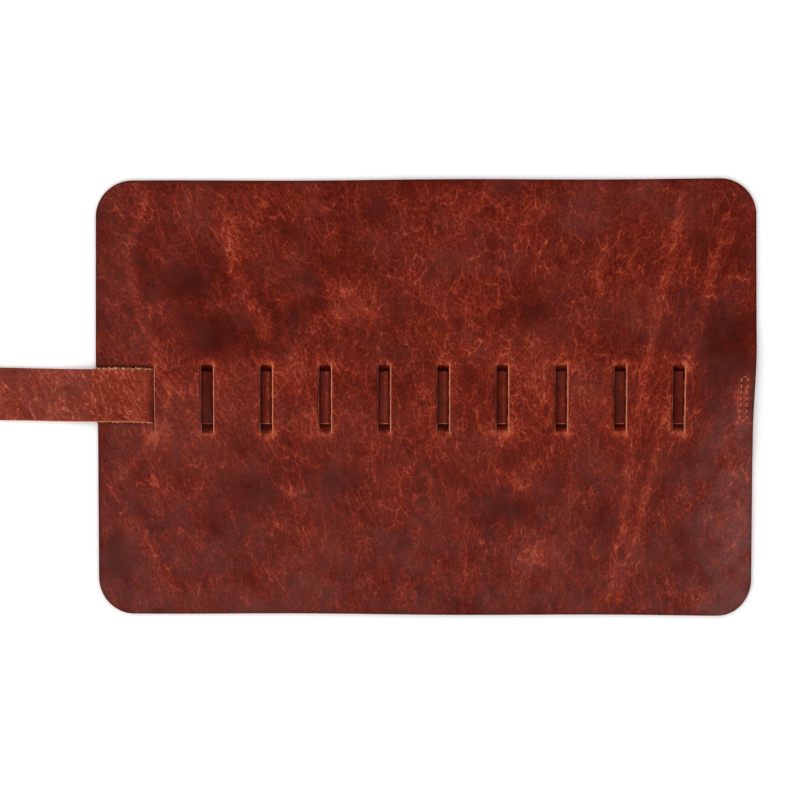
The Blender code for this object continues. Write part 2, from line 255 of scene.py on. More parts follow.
print("walls lean up to", round(LEAN_MOUTH / MM, 2), "mm")

# %% [markdown]
# ## The shape of the strap
# The strap comes in over the sheet's left edge, dives through the entry slit, and then runs on the
# table under the sheet, hopping over each bridge.

# %% The strap's shape


def strap_height(x):
    """Height of the strap's grain side along its length."""
    along = x - SHEET_LEFT
    under = 2.05 * MM * smooth(-19 * MM, -1 * MM, along) * (1 - smooth(26.8 * MM, 34 * MM, along))
    for pair in PAIR_X:
        under += 2.1 * MM * (1 - smooth(1.1 * MM, 6.4 * MM, np.abs(x - pair)))
    free = 1 - smooth(-60 * MM, -19 * MM, along)
    under += 0.25 * MM * free * (1 + np.sin(along / (23 * MM)))
    return LEATHER + under


def strap_middle(x):
    """The strap's middle line strays a little from the straight."""
    along = x - SHEET_LEFT
    near = 1.0 * MM * (1 - smooth(10 * MM, 45 * MM, along))
    far = 0.9 * MM * (1 - smooth(-60 * MM, 0.0, along))
    tail = -1.9 * MM * (1 - smooth(-280 * MM, -90 * MM, along))
    return -0.3 * MM + near + far + tail


print("strap", round((STRAP_RIGHT - STRAP_LEFT) / MM), "mm from end to end")

# %% [markdown]
# ## Laying out a piece of leather
# A primitive grid is added with as many cells as the piece needs, and its rows and columns are then
# moved to chosen places, so that slits and edges fall exactly on mesh lines. Each point also keeps
# its place at rest in an attribute, which the materials read. The grain then stays with the leather
# when it is rolled up.

# %% Helpers for grids
NEARLY = 1e-6                   # rounding in a mesh's own numbers


def stations(stops, step):
    """Places from the first stop to the last, through every stop, about a step apart."""
    places = [stops[0]]
    for start, end in zip(stops, stops[1:]):
        count = max(1, math.ceil((end - start) / step - NEARLY))
        places += [start + (end - start) * (i + 1) / count for i in range(count)]
    return np.array(places)


def add_grid(name, xs, ys):
    """A grid whose columns and rows lie at the given places."""
    bpy.ops.object.select_all(action="DESELECT")
    bpy.ops.mesh.primitive_grid_add(x_subdivisions=len(xs) - 1, y_subdivisions=len(ys) - 1, size=2)
    piece = bpy.context.object
    piece.name = name
    piece.data.name = name
    co = points(piece)
    column = np.rint((co[:, 0] + 1) / 2 * (len(xs) - 1)).astype(int)
    row = np.rint((co[:, 1] + 1) / 2 * (len(ys) - 1)).astype(int)
    co[:, 0], co[:, 1], co[:, 2] = xs[column], ys[row], 0.0
    set_points(piece, co)
    return piece


def gather(pieces):
    """Selects the pieces and nothing else, with the first one active."""
    bpy.ops.object.select_all(action="DESELECT")
    for piece in pieces:
        piece.select_set(True)
    bpy.context.view_layer.objects.active = pieces[0]


def dress(piece, material):
    """Makes a material the piece's only one."""
    piece.data.materials.clear()
    piece.data.materials.append(material)


def points(piece):
    """A mesh's points as rows of x, y and z."""
    co = np.empty(len(piece.data.vertices) * 3)
    piece.data.vertices.foreach_get("co", co)
    return co.reshape(-1, 3)


def set_points(piece, co):
    piece.data.vertices.foreach_set("co", np.ascontiguousarray(co, np.float64).ravel())
    piece.data.update()


def open_slits(piece, lines):
    """Splits the mesh along upright lines, each given as x and its span in y."""
    bpy.ops.object.mode_set(mode="EDIT")
    bm = bmesh.from_edit_mesh(piece.data)
    bm.select_mode = {"EDGE"}
    for face in bm.faces:
        face.select = False
    chosen = 0
    for edge in bm.edges:
        a, b = edge.verts[0].co, edge.verts[1].co
        for x, (low, high) in lines:
            on_it = abs(a.x - x) + abs(b.x - x) < 2 * NEARLY
            if on_it and min(a.y, b.y) > low - NEARLY and max(a.y, b.y) < high + NEARLY:
                edge.select = True
                chosen += 1
    bmesh.update_edit_mesh(piece.data)
    if chosen:
        bpy.ops.mesh.edge_split(type="EDGE")
    bpy.ops.object.mode_set(mode="OBJECT")


def face_middles(piece):
    middles = np.empty(len(piece.data.polygons) * 3)
    piece.data.polygons.foreach_get("center", middles)
    return middles.reshape(-1, 3)


def mean_face_x(piece):
    """For every point, the mean x of the faces round it, which tells the sides of a slit apart."""
    middles = face_middles(piece)
    total, count = np.zeros(len(piece.data.vertices)), np.zeros(len(piece.data.vertices))
    for polygon in piece.data.polygons:
        for v in polygon.vertices:
            total[v] += middles[polygon.index][0]
            count[v] += 1
    return total / np.maximum(count, 1)


print("helpers ready")

# %% [markdown]
# A piece gets its thickness from a Solidify modifier. Its second layer is then set exactly one
# thickness below the first along the true slope of the leather, and the same slope gives the shading
# normals. Neighbouring pieces use the same slope where they meet, so no seam shows between them.

# %% Helper that turns a flat pattern into a piece of leather
GRAIN, CUT, FLESH = 0, 1, 2     # each piece's material slots
SLOPE_STEP = 0.05 * MM


def give_body(piece, surface, lean, wear):
    """Moves a flat pattern to surface(x, y, tag), gives it thickness, and sets its normals."""
    flat = points(piece)
    tag = piece_tags(piece)
    count = len(flat)
    x, y, step = flat[:, 0], flat[:, 1], SLOPE_STEP
    top = surface(x, y, tag)
    east = surface(x + step, y, tag) - surface(x - step, y, tag)
    north = surface(x, y + step, tag) - surface(x, y - step, tag)
    normal = np.column_stack([-east[:, 2], -north[:, 2], np.full(count, 2 * step)])
    normal /= np.linalg.norm(normal, axis=1)[:, None]
    thick = piece.modifiers.new("thickness", "SOLIDIFY")
    thick.thickness = LEATHER
    thick.offset = -1
    thick.use_rim = True
    thick.use_flat_faces = False
    bpy.context.view_layer.objects.active = piece
    for _ in (GRAIN, CUT, FLESH):
        piece.data.materials.append(None)
    top_faces = len(piece.data.polygons)
    bpy.ops.object.modifier_apply(modifier=thick.name)
    for polygon in piece.data.polygons:
        below = [v >= count for v in polygon.vertices]
        if all(below):
            polygon.material_index = FLESH
        elif any(below):
            polygon.material_index = CUT
    under = top - normal * LEATHER
    lean_x, lean_y = lean(x, y, tag)
    under[:, 0] += lean_x
    under[:, 1] += lean_y
    co = np.vstack([top, under])
    co[:, 2] = np.maximum(co[:, 2], 0.0)
    set_points(piece, co)
    for name, amounts in zip(("wear", "bloom"), wear(x, y, tag)):
        kept = piece.data.attributes.new(name, "FLOAT", "POINT")
        kept.data.foreach_set("value", np.tile(amounts, 2).astype(np.float32))
    place = piece.data.attributes.new("place", "FLOAT_VECTOR", "POINT")
    rest = np.column_stack([np.tile(x, 2), np.tile(y, 2), co[:, 2]])
    place.data.foreach_set("vector", rest.astype(np.float32).ravel())
    both = np.vstack([normal, -normal])
    corner_normals = []
    for polygon in piece.data.polygons:
        polygon.use_smooth = True
        for v in polygon.vertices:
            corner_normals.append(polygon.normal if polygon.index >= 2 * top_faces else Vector(both[v]))
    piece.data.normals_split_custom_set(corner_normals)


def piece_tags(piece):
    """Where each point is: -1 left of a slit, 1 right of it, 0 on a bridge, 2 on whole leather."""
    x, y = points(piece)[:, 0], points(piece)[:, 1]
    mean = mean_face_x(piece)
    tag = np.sign(mean - x)
    tag[np.abs(mean - x) < ON_LINE] = 2
    for pair in PAIR_X:
        between = np.abs(mean - pair) < PAIR_HALF - ON_LINE
        tag[between & (y > PAIR_Y[0] + NEARLY) & (y < PAIR_Y[1] - NEARLY)] = 0
    return tag


print("leather helper ready")

# %% [markdown]
# ## Where the leather is worn, with painted light and shade
# The number kept at every point holds wear and painted light together: above zero where wax has been
# rubbed or stretched away and the leather glows, and where light is painted; below zero where it is
# thick and dark, and where shade is painted. It is the sum of soft patches, of long streaks where the
# hide was pulled, of small bright pinches at the ends of the slits, and of painted shade: a painted
# shadow along the strap's far edge, a dark line on the left lip of each pair of slits, the bridges
# darker next to the strap, the stitch holes, and the strap where it runs under the sheet, with painted
# light on it in each window. A second number is a pale haze: on the sheet a painted sheen, strongest
# near the left edge, towards the bottom and at the lower right, and on the strap a paler haze on its
# free part.

# %% Worn places, painted light and painted shade
# each patch: how far along and how far up, how long and how tall, all in mm, and how worn
DARK_PATCHES = [
    (43, 53, 11, 9, 1.0), (57, 28, 17, 8, 0.8), (93, 39, 13, 9, 0.6), (130, 87, 6, 6, 0.5),
    (155, 58, 8, 7, 0.5), (205, 39, 7, 7, 0.7), (247, 25, 12, 6, 0.5), (284, 72, 6, 6, 0.7),
    (293, 31, 17, 13, 0.9), (297, 15, 13, 6, 0.8), (142, 6, 13, 9, 0.6), (116, -39, 14, 8, 0.5),
    (72, -46, 16, 16, 0.5), (56, -62, 12, 9, 0.35), (193, -53, 14, 7, 0.7), (144, -68, 6, 6, 0.5),
    (241, -64, 7, 14, 0.5), (275, -74, 18, 13, 0.45), (10, -76, 10, 16, 0.7), (278, -34, 11, 18, 0.4),
    (288, 2, 11, 16, 0.65), (6, 87, 5, 5, 0.6), (25, 62, 9, 17, 0.3), (262, 3, 13, 8, 0.3)]
LIGHT_PATCHES = [
    (123, 43, 13, 13, 0.6), (170, 43, 14, 10, 0.7), (204, 21, 8, 11, 0.7), (238, 56, 20, 7, 0.5),
    (93, 16, 12, 8, 0.6), (100, -13, 8, 7, 0.8), (191, -18, 14, 5, 0.6), (137, -34, 12, 14, 0.35),
    (87, -60, 10, 12, 0.5), (199, -38, 7, 5, 0.6), (209, -75, 14, 9, 0.5), (30, -19, 8, 6, 0.7),
    (178, 82, 24, 13, 0.3), (66, 84, 10, 12, 0.35), (30, 21, 7, 7, 0.5), (78, 2, 7, 9, 0.4)]
# each streak: its strength, its width in mm, and the points it runs through
STREAKS = [
    (0.85, 2.6, [(275, 94), (266, 55), (257, 13), (251, -25), (240, -93)]),
    (0.75, 2.4, [(289, 64), (282, 29), (266, -11), (257, -46), (245, -95)]),
    (0.80, 2.2, [(23, 91), (14, 66), (20, 45), (27, 20)]),
    (0.85, 3.0, [(60, 92), (65, 59), (80, 29)]),
    (0.75, 2.0, [(10, -39), (27, -19)]),
    (0.35, 2.2, [(90, 70), (112, 48), (121, 26)]),
    (0.35, 2.4, [(236, 62), (233, 29)]),
    (0.30, 2.2, [(146, 60), (160, 40), (176, 20)])]


def near_line(x, y, points_mm):
    """Distance to a line through some points."""
    best = np.full_like(x, 1.0)
    for (ax, ay), (bx, by) in zip(points_mm, points_mm[1:]):
        ax, ay, bx, by = SHEET_LEFT + ax * MM, ay * MM, SHEET_LEFT + bx * MM, by * MM
        t = np.clip(((x - ax) * (bx - ax) + (y - ay) * (by - ay)) / ((bx - ax) ** 2 + (by - ay) ** 2), 0, 1)
        best = np.minimum(best, np.hypot(x - ax - t * (bx - ax), y - ay - t * (by - ay)))
    return best


def waver(x, y):
    """A slow wandering, so that patches and streaks aren't ovals and straight lines."""
    a = np.sin(x / (7 * MM) + 2.1 * np.sin(y / (11 * MM))) + 0.6 * np.sin(x / (3.1 * MM) + y / (4.3 * MM))
    b = np.sin(y / (6 * MM) + 1.7 * np.sin(x / (9 * MM))) + 0.6 * np.sin(y / (2.7 * MM) - x / (5.1 * MM))
    return a * 1.5 * MM, b * 1.5 * MM


WINDOW_PAINTED_LIGHT = (-0.9, 1.5, 1.4, 1.4, 1.3, 1.2, 1.0, 0.9, 0.8)      # painted light on the strap's middle in each pair's window, the first made darker
STITCH_X = (SHEET_RIGHT - 6.6 * MM, SHEET_RIGHT - 3.5 * MM)
STITCH_Y = (-10.9 * MM, 9.4 * MM)
STITCH_COUNT = 7
HOLE_Y = [STITCH_Y[0] + (STITCH_Y[1] - STITCH_Y[0]) * i / STITCH_COUNT for i in range(STITCH_COUNT + 1)]


def sheet_wear_and_painted_light(x, y, tag):
    """Wear with painted light and shade, and a painted sheen, at points of the sheet."""
    wx, wy = waver(x, y)
    px, py = x + wx, y + wy
    wear = np.zeros_like(x)
    for sign, patches in ((-1, DARK_PATCHES), (1, LIGHT_PATCHES)):
        for cx, cy, long, tall, strength in patches:
            far = ((px - SHEET_LEFT - cx * MM) / (long * MM)) ** 2 + ((py - cy * MM) / (tall * MM)) ** 2
            wear += sign * strength * np.exp(-far)
    for strength, width, line in STREAKS:
        wear += strength * bell(near_line(x + wx * 0.4, y, line), width * MM)
    for pair in PAIR_X:
        away = np.abs(x - pair) - PAIR_HALF
        for end, side, strength in ((PAIR_Y[1], 1, 0.9), (PAIR_Y[0], 1, 1.3), (PAIR_Y[1], -1, 0.4),
                                    (PAIR_Y[0], -1, 0.5)):
            tip = np.hypot(x - pair - side * PAIR_HALF, (y - end) * 0.8)
            wear += 2.2 * strength * bell(tip, 1.2 * MM) + 0.5 * strength * bell(tip, 4.5 * MM)
        # painted shade on each bridge: darker all over and darkest next to the strap, with painted light
        # towards its ends and its right side
        wear += np.where(tag == 0, 0.45 * smooth(STRAP_HALF, PAIR_Y[1] + 3 * MM, np.abs(y))
                         * smooth(-1 * MM, PAIR_HALF, x - pair) - 0.2, 0.0)
        # painted shade: a dark line along the outer lip of each pair's left slit, whose wall faces away
        # from the light
        in_pair = (y > PAIR_Y[0]) & (y < PAIR_Y[1])
        painted_shade_left_lip = (away > -ON_LINE) & (away < 0.3 * MM) & (x < pair) & (tag != 0) & in_pair
        wear -= np.where(painted_shade_left_lip, 1.5 + 0.4 * np.sin(y / (1.9 * MM)), 0.0)
    on_band = smooth(21 * MM, 11 * MM, np.abs(y)) * smooth(0.0, 4 * MM, x - ENTRY_X)
    wear += 0.35 * on_band * smooth(0.0, -30 * MM, x - SHEET_RIGHT)
    for end in ENTRY_Y:
        tip = np.hypot(x - ENTRY_X - 0.6 * MM, y - end)
        wear += 1.5 * bell(tip, 1.5 * MM) + 0.6 * bell(tip, 6 * MM)
    # painted shade in the stitch holes, as dark spots; a lighter stripe runs just left of each row
    for hole_x in STITCH_X:
        for hole_y in HOLE_Y:
            wear -= 2.2 * bell(np.hypot(x - hole_x, y - hole_y), 0.55 * MM)
        beside_row = smooth(12.5 * MM, 10.5 * MM, np.abs(y + 1.1 * MM))
        wear += 1.2 * bell(x - hole_x + 0.4 * MM, 1.2 * MM) * beside_row
    # painted shadow: a dark line on the sheet just beyond the strap's far edge, left of the entry slit
    wear -= np.where(x < ENTRY_X, 2.4 * bell(y - STRAP_HALF - 1.2 * MM, 1.1 * MM), 0.0)
    rim = to_rim(x, y)
    wear -= 0.8 * np.exp(-rim / (0.5 * MM)) + 0.25 * np.exp(-rim / (4 * MM))
    # painted sheen: a pale haze near the left edge, at the lower right and towards the bottom
    low_right = smooth(-45 * MM, -5 * MM, x - SHEET_RIGHT) * smooth(30 * MM, -25 * MM, y)
    bloom = 0.2 * smooth(60 * MM, 0.0, x - SHEET_LEFT) + 0.75 * low_right
    return wear, bloom + 0.3 * smooth(0.0, -90 * MM, y)


def strap_wear_and_painted_light(x, y, tag):
    """Wear with painted light and shade, and a pale haze, at points of the strap."""
    along = x - SHEET_LEFT
    wx, wy = waver(x, y)
    wear = 0.45 * bell(along - 19 * MM + wx, 9 * MM) * bell(y - 1 * MM + wy, 9 * MM)
    wear -= 0.55 * bell(along + 13 * MM + wx, 7 * MM) * bell(y + wy, 6 * MM)
    # painted shade: the strap darkens from just before the entry slit, under its raised mouth and under the
    # sheet
    wear -= 0.7 * smooth(23 * MM, 27 * MM, along)
    wear -= 0.9 * smooth(27 * MM, 29 * MM, along)
    # painted light on the middle of the strap where it shows in each window
    for pair, glow in zip(PAIR_X, WINDOW_PAINTED_LIGHT):
        wear += glow * bell(x - pair - 0.8 * MM, 1.3 * MM)
    # the second number: a paler haze on the strap's free part, beyond the sheet's left edge
    return wear, 0.4 * smooth(-1 * MM, -5 * MM, along)


print(len(DARK_PATCHES) + len(LIGHT_PATCHES), "patches and", len(STREAKS), "streaks")

# %% [markdown]
# ## The sheet
# On the real roll the sheet is one piece. Here a piece can bend between two bodies only, so the sheet
# is made in strips that meet without a gap. Each runs from the middle of one body to the middle of
# the next, its columns fall on the slit lines, and the slits are opened where the mesh is split.

# %% Make the sheet


def corner_pull(x, y):
    """Bends the grid's square corners round to arcs, keeping its rows and columns whole."""
    x, y = x.copy(), y.copy()
    for end, sign in ((SHEET_LEFT, -1), (SHEET_RIGHT, 1)):
        u = np.clip((x - (end - sign * CORNER)) * sign / CORNER, 0, 1)
        v = np.clip((np.abs(y) - (SHEET_HALF - CORNER)) / CORNER, 0, 1)
        inside = (u > 0) & (v > 0)
        nu = u * np.sqrt(1 - v * v / 2)
        nv = v * np.sqrt(1 - u * u / 2)
        x = np.where(inside, end - sign * CORNER + sign * nu * CORNER, x)
        y = np.where(inside, np.sign(y) * (SHEET_HALF - CORNER + nv * CORNER), y)
    return x, y


def sheet_surface(x, y, tag):
    """The place of each pattern point on the lying sheet."""
    px, py = corner_pull(x, y)
    dx, dy = outline_drift(px, py)
    height = sheet_height(x, y, tag)
    rim = to_rim(x, y)
    height = height - RIM_DROP * np.exp(-np.maximum(rim, 0) / RIM_REACH)
    on_bridge = tag == 0
    height = np.where(on_bridge, bridge_height(y), height)
    for pair in PAIR_X:
        near = on_bridge & (np.abs(x - pair) < PAIR_HALF + 1e-4)
        dx = np.where(near, dx - (x - pair) * 0.07 * along_slit(y, PAIR_Y), dx)
        away = np.abs(x - pair) - PAIR_HALF
        at_lip = ~on_bridge & (away > -0.5 * MM) & (away < 6 * MM)
        opened = np.where(at_lip, 0.12 * MM * along_slit(y, PAIR_Y) * np.exp(-away / (1.0 * MM)), 0.0)
        dx = dx + np.sign(x - pair) * opened
    return np.column_stack([px + dx, py + dy, height])


LIP_WIDTH = {-1: 0.16 * MM, 1: 0.48 * MM}        # pale edge left and right of a slit's opening
ENTRY_LIP = 0.36 * MM
STRAP_LIP = 0.34 * MM


def pale_lips(piece):
    """Gives the grain faces along the slits' lips the finish of a cut edge."""
    for polygon, middle in zip(piece.data.polygons, face_middles(piece)):
        inside = [PAIR_HALF < abs(middle[0] - x) < PAIR_HALF + LIP_WIDTH[1 if middle[0] > x else -1]
                  and PAIR_Y[0] < middle[1] < PAIR_Y[1] for x in PAIR_X]
        inside.append(0 < middle[0] - ENTRY_X < ENTRY_LIP and ENTRY_Y[0] < middle[1] < ENTRY_Y[1])
        if any(inside):
            polygon.material_index = CUT


SLIT_LINES = [(ENTRY_X, ENTRY_Y)]
for pair in PAIR_X:
    SLIT_LINES += [(pair - PAIR_HALF, PAIR_Y), (pair + PAIR_HALF, PAIR_Y)]
FINE_ROWS = 24 * MM             # nearer than this to the middle line, the rows are closer together
near_rows = stations([-SHEET_HALF, -SHEET_HALF + RIM_ROW, -SHEET_HALF + CORNER, -FINE_ROWS], 1.3 * MM)
band_rows = stations([-FINE_ROWS, PAIR_Y[0], ENTRY_Y[0], ENTRY_Y[1], PAIR_Y[1], FINE_ROWS], 0.7 * MM)
far_rows = stations([FINE_ROWS, SHEET_HALF - CORNER, SHEET_HALF - RIM_ROW, SHEET_HALF], 1.3 * MM)
SHEET_ROWS = np.concatenate([near_rows, band_rows[1:], far_rows[1:]])

sheet_bodies = BODIES[BODIES.index("left_edge"):]
sheet_strips = []
for number, (body, after) in enumerate(zip(sheet_bodies, sheet_bodies[1:]), 1):
    start = SHEET_LEFT if number == 1 else MIDDLES[body]
    end = SHEET_RIGHT if after == sheet_bodies[-1] else MIDDLES[after]
    inner = [SHEET_LEFT + RIM_ROW, SHEET_LEFT + CORNER, SHEET_RIGHT - CORNER, SHEET_RIGHT - RIM_ROW]
    inner += [x for x, _ in SLIT_LINES] + [ENTRY_X + ENTRY_LIP] + list(STITCH_X)
    inner += [x + side * 0.45 * MM for x in STITCH_X for side in (-1, 1)]
    inner += [x + side * (PAIR_HALF + LIP_WIDTH[side]) for x in PAIR_X for side in (-1, 1)]
    stops = [start] + sorted(x for x in inner if start + ON_LINE < x < end - ON_LINE) + [end]
    strip = add_grid(f"sheet_strip_{number}", stations(stops, 0.95 * MM), SHEET_ROWS)
    open_slits(strip, SLIT_LINES)
    pale_lips(strip)
    give_body(strip, sheet_surface, sheet_lean, sheet_wear_and_painted_light)
    sheet_strips.append((strip, body, after))
print(len(sheet_strips), "strips,", sum(len(s.data.polygons) for s, _, _ in sheet_strips), "faces")

# %% [markdown]
# ## The strap
# The strap is a plain band, cut with the same knife. It is made the same way, in strips from its
# rounded tail to its sewn end. It has no slits, and its near edge shows pale where it lies in view.

# %% Make the strap


def strap_surface(x, y, tag):
    """The place of each pattern point on the lying strap."""
    share = y / STRAP_HALF
    tip = np.clip((STRAP_LEFT + TAIL_ROUND - x) / TAIL_ROUND, 0, 1)
    half = STRAP_HALF - TAIL_ROUND * (1 - np.sqrt(np.clip(1 - tip**2, 0, 1)))
    rim = STRAP_HALF - np.abs(y)
    height = strap_height(x) - RIM_DROP * np.exp(-np.maximum(rim, 0) / RIM_REACH)
    return np.column_stack([x, share * half + strap_middle(x), height])


def pale_near_edge(piece):
    """Gives the strap's nearest row of grain faces the finish of a cut edge."""
    for polygon, middle in zip(piece.data.polygons, face_middles(piece)):
        if middle[1] < -STRAP_HALF + STRAP_LIP and middle[0] > SHEET_LEFT - 40 * MM:
            polygon.material_index = CUT


strap_rows = stations([-STRAP_HALF, -STRAP_HALF + STRAP_LIP, STRAP_HALF - RIM_ROW, STRAP_HALF], 0.9 * MM)
strap_strips = []
for number, (body, after) in enumerate(zip(BODIES, BODIES[1:]), 1):
    start = STRAP_LEFT if number == 1 else MIDDLES[body]
    end = STRAP_RIGHT if after == BODIES[-1] else MIDDLES[after]
    inner = [STRAP_LEFT + 0.1 * MM, STRAP_LEFT + 0.5 * MM, STRAP_LEFT + 1.5 * MM]
    stops = [start] + [x for x in inner if start + ON_LINE < x < end] + [end]
    strip = add_grid(f"strap_strip_{number}", stations(stops, 0.7 * MM), strap_rows)
    pale_near_edge(strip)
    give_body(strip, strap_surface, strap_lean, strap_wear_and_painted_light)
    strap_strips.append((strip, body, after))
print(len(strap_strips), "strips,", sum(len(s.data.polygons) for s, _, _ in strap_strips), "faces")

# %% [markdown]
# ## Shader sums
# Materials are written as sums on shader values. This small class wraps a socket, so that masks can
# be added, multiplied and turned round as plain numbers are.

# %% The shader value class


class Shade:
    """A shader value that takes part in sums."""

    def __init__(self, finish, socket):
        self.finish, self.socket = finish, socket

    def _sum(self, operation, first, second, clamp=False):
        settings = {"operation": operation, "use_clamp": clamp}
        return self.finish.node("ShaderNodeMath", settings, [first, second])

    def __add__(self, other):
        return self._sum("ADD", self, other)

    __radd__ = __add__

    def __sub__(self, other):
        return self._sum("SUBTRACT", self, other)

    def __rsub__(self, other):
        return self._sum("SUBTRACT", other, self)

    def __mul__(self, other):
        return self._sum("MULTIPLY", self, other)

    __rmul__ = __mul__

    def clipped(self):
        """The value held between 0 and 1."""
        return self._sum("ADD", self, 0.0, clamp=True)


class Finish:
    """A material under construction."""

    def __init__(self, name):
        self.material = bpy.data.materials.new(name)
        self.material.use_nodes = True
        self.tree = self.material.node_tree
        self.shader = self.tree.nodes["Principled BSDF"]

    def node(self, kind, settings, inputs, output=0):
        """Adds a node: its settings first, then its inputs, as values or as links."""
        made = self.tree.nodes.new(kind)
        for key, value in settings.items():
            if key == "stops":
                ramp = made.color_ramp
                while len(ramp.elements) < len(value):
                    ramp.elements.new(0.5)
                for element, (position, colour) in zip(ramp.elements, value):
                    element.position = position
                    element.color = (*colour, 1.0)
            else:
                setattr(made, key, value)
        items = inputs.items() if isinstance(inputs, dict) else enumerate(inputs)
        for key, value in items:
            self.feed(made.inputs[key], value)
        return Shade(self, made.outputs[output])

    def feed(self, socket, value):
        if isinstance(value, Shade):
            self.tree.links.new(value.socket, socket)
        elif socket.type == "RGBA":
            socket.default_value = (*value, 1.0)
        else:
            socket.default_value = value

    def give(self, name, value):
        """Sets one of the surface's own inputs."""
        self.feed(self.shader.inputs[name], value)

    def place(self, offset=(0.0, 0.0, 0.0)):
        """The leather's own place at rest, in millimetres."""
        rest = self.node("ShaderNodeAttribute", {"attribute_name": "place"}, {}, 1)
        scaled = {"Vector": rest, "Scale": (1000.0,) * 3, "Location": offset}
        return self.node("ShaderNodeMapping", {}, scaled)

    def stretched(self, where, share):
        """A place whose patterns are drawn out along y."""
        return self.node("ShaderNodeMapping", {}, {"Vector": where, "Scale": (1.0, share, 1.0)})

    def kept(self, name):
        """A number kept at every point of the mesh."""
        return self.node("ShaderNodeAttribute", {"attribute_name": name}, {}, 2)

    def parts(self, where):
        """The x and y of a place."""
        split = self.node("ShaderNodeSeparateXYZ", {}, [where])
        return split, Shade(self, split.socket.node.outputs[1])

    def joined(self, x, y):
        """A place made from its x and y."""
        return self.node("ShaderNodeCombineXYZ", {}, [x, y, 0.0])

    def noise(self, where, size, detail=2.0, rough=0.5, warp=0.0):
        """Soft noise from 0 to 1, with features of about the given size in millimetres."""
        return self.node("ShaderNodeTexNoise", {"normalize": True},
                         {"Vector": where, "Scale": 1 / size, "Detail": detail, "Roughness": rough,
                          "Distortion": warp})

    def cells(self, where, size):
        """The distance to the edge in Voronoi cells of about the given size in millimetres."""
        return self.node("ShaderNodeTexVoronoi", {"feature": "DISTANCE_TO_EDGE"},
                         {"Vector": where, "Scale": 1 / size, "Randomness": 1.0})

    def moved(self, where, amount, size, detail=1.0):
        """Shifts a place by noise, which bends the straight lines of a pattern."""
        drift = {"Vector": where, "Scale": 1 / size, "Detail": detail}
        push = self.node("ShaderNodeTexNoise", {}, drift, 1)
        centred = self.node("ShaderNodeVectorMath", {"operation": "SUBTRACT"}, [push, (0.5, 0.5, 0.5)])
        return self.node("ShaderNodeVectorMath", {"operation": "MULTIPLY_ADD"},
                         [centred, (amount, amount, amount), where])

    def away(self, value, middle):
        """How far a value is from a middle value."""
        return self.node("ShaderNodeMath", {"operation": "ABSOLUTE"}, [value - middle])

    def step(self, value, low, high, start=0.0, end=1.0):
        """A soft step from one value to another."""
        return self.node("ShaderNodeMapRange", {"interpolation_type": "SMOOTHSTEP"},
                         [value, low, high, start, end])

    def blend(self, share, first, second):
        """Mixes two colours."""
        return self.node("ShaderNodeMix", {"data_type": "RGBA", "clamp_factor": True},
                         {0: share, 6: first, 7: second}, 2)

    def bump(self, height, distance):
        """A normal that follows the height."""
        return self.node("ShaderNodeBump", {}, {"Height": height, "Distance": distance, "Strength": 1.0})


print("shader helpers ready")

# %% [markdown]
# ## Pull-up leather
# This leather is full of wax and oil. Where it is bent, stretched or rubbed, the wax moves away and
# the dye looks lighter and more orange, so every crease shows as a pale line on a dark ground. One
# number, the tone, runs from thick dark wax to bare worn hide, and a ramp turns it into colour. The
# tone is a sum of clouds, of bundles where the hide was pulled, of dark spots of oil, of the number
# kept at every point, which holds wear together with painted light and shade, and of fine lines: the
# grain's own cells, wrinkles, long creases, and the hairlines within a bundle. All the lines are read
# through the same wandering place, so they flow together as real creases do. A pale haze is mixed in
# last: random wax haze, and the painted sheen kept at every point.

# %% Leather finish
GRAIN_CELL, WRINKLE, CREASE, WEB = 1.7, 2.8, 4.2, 2.5      # sizes in mm
WAX_HAZE_AND_SHEEN = (0.75, 0.62, 0.60)
COOL_RED = (0.10, 0.018, 0.013)
WAX_GLOSS = 0.06


def net(f, where, size, core, halo):
    """A net of lines round cells of about the given size: a thin bright core in a soft halo."""
    edge = f.cells(where, size)
    return f.step(edge, 0.0, core, 1.0, 0.0) * 0.8 + f.step(edge, 0.0, halo, 1.0, 0.0) * 0.2


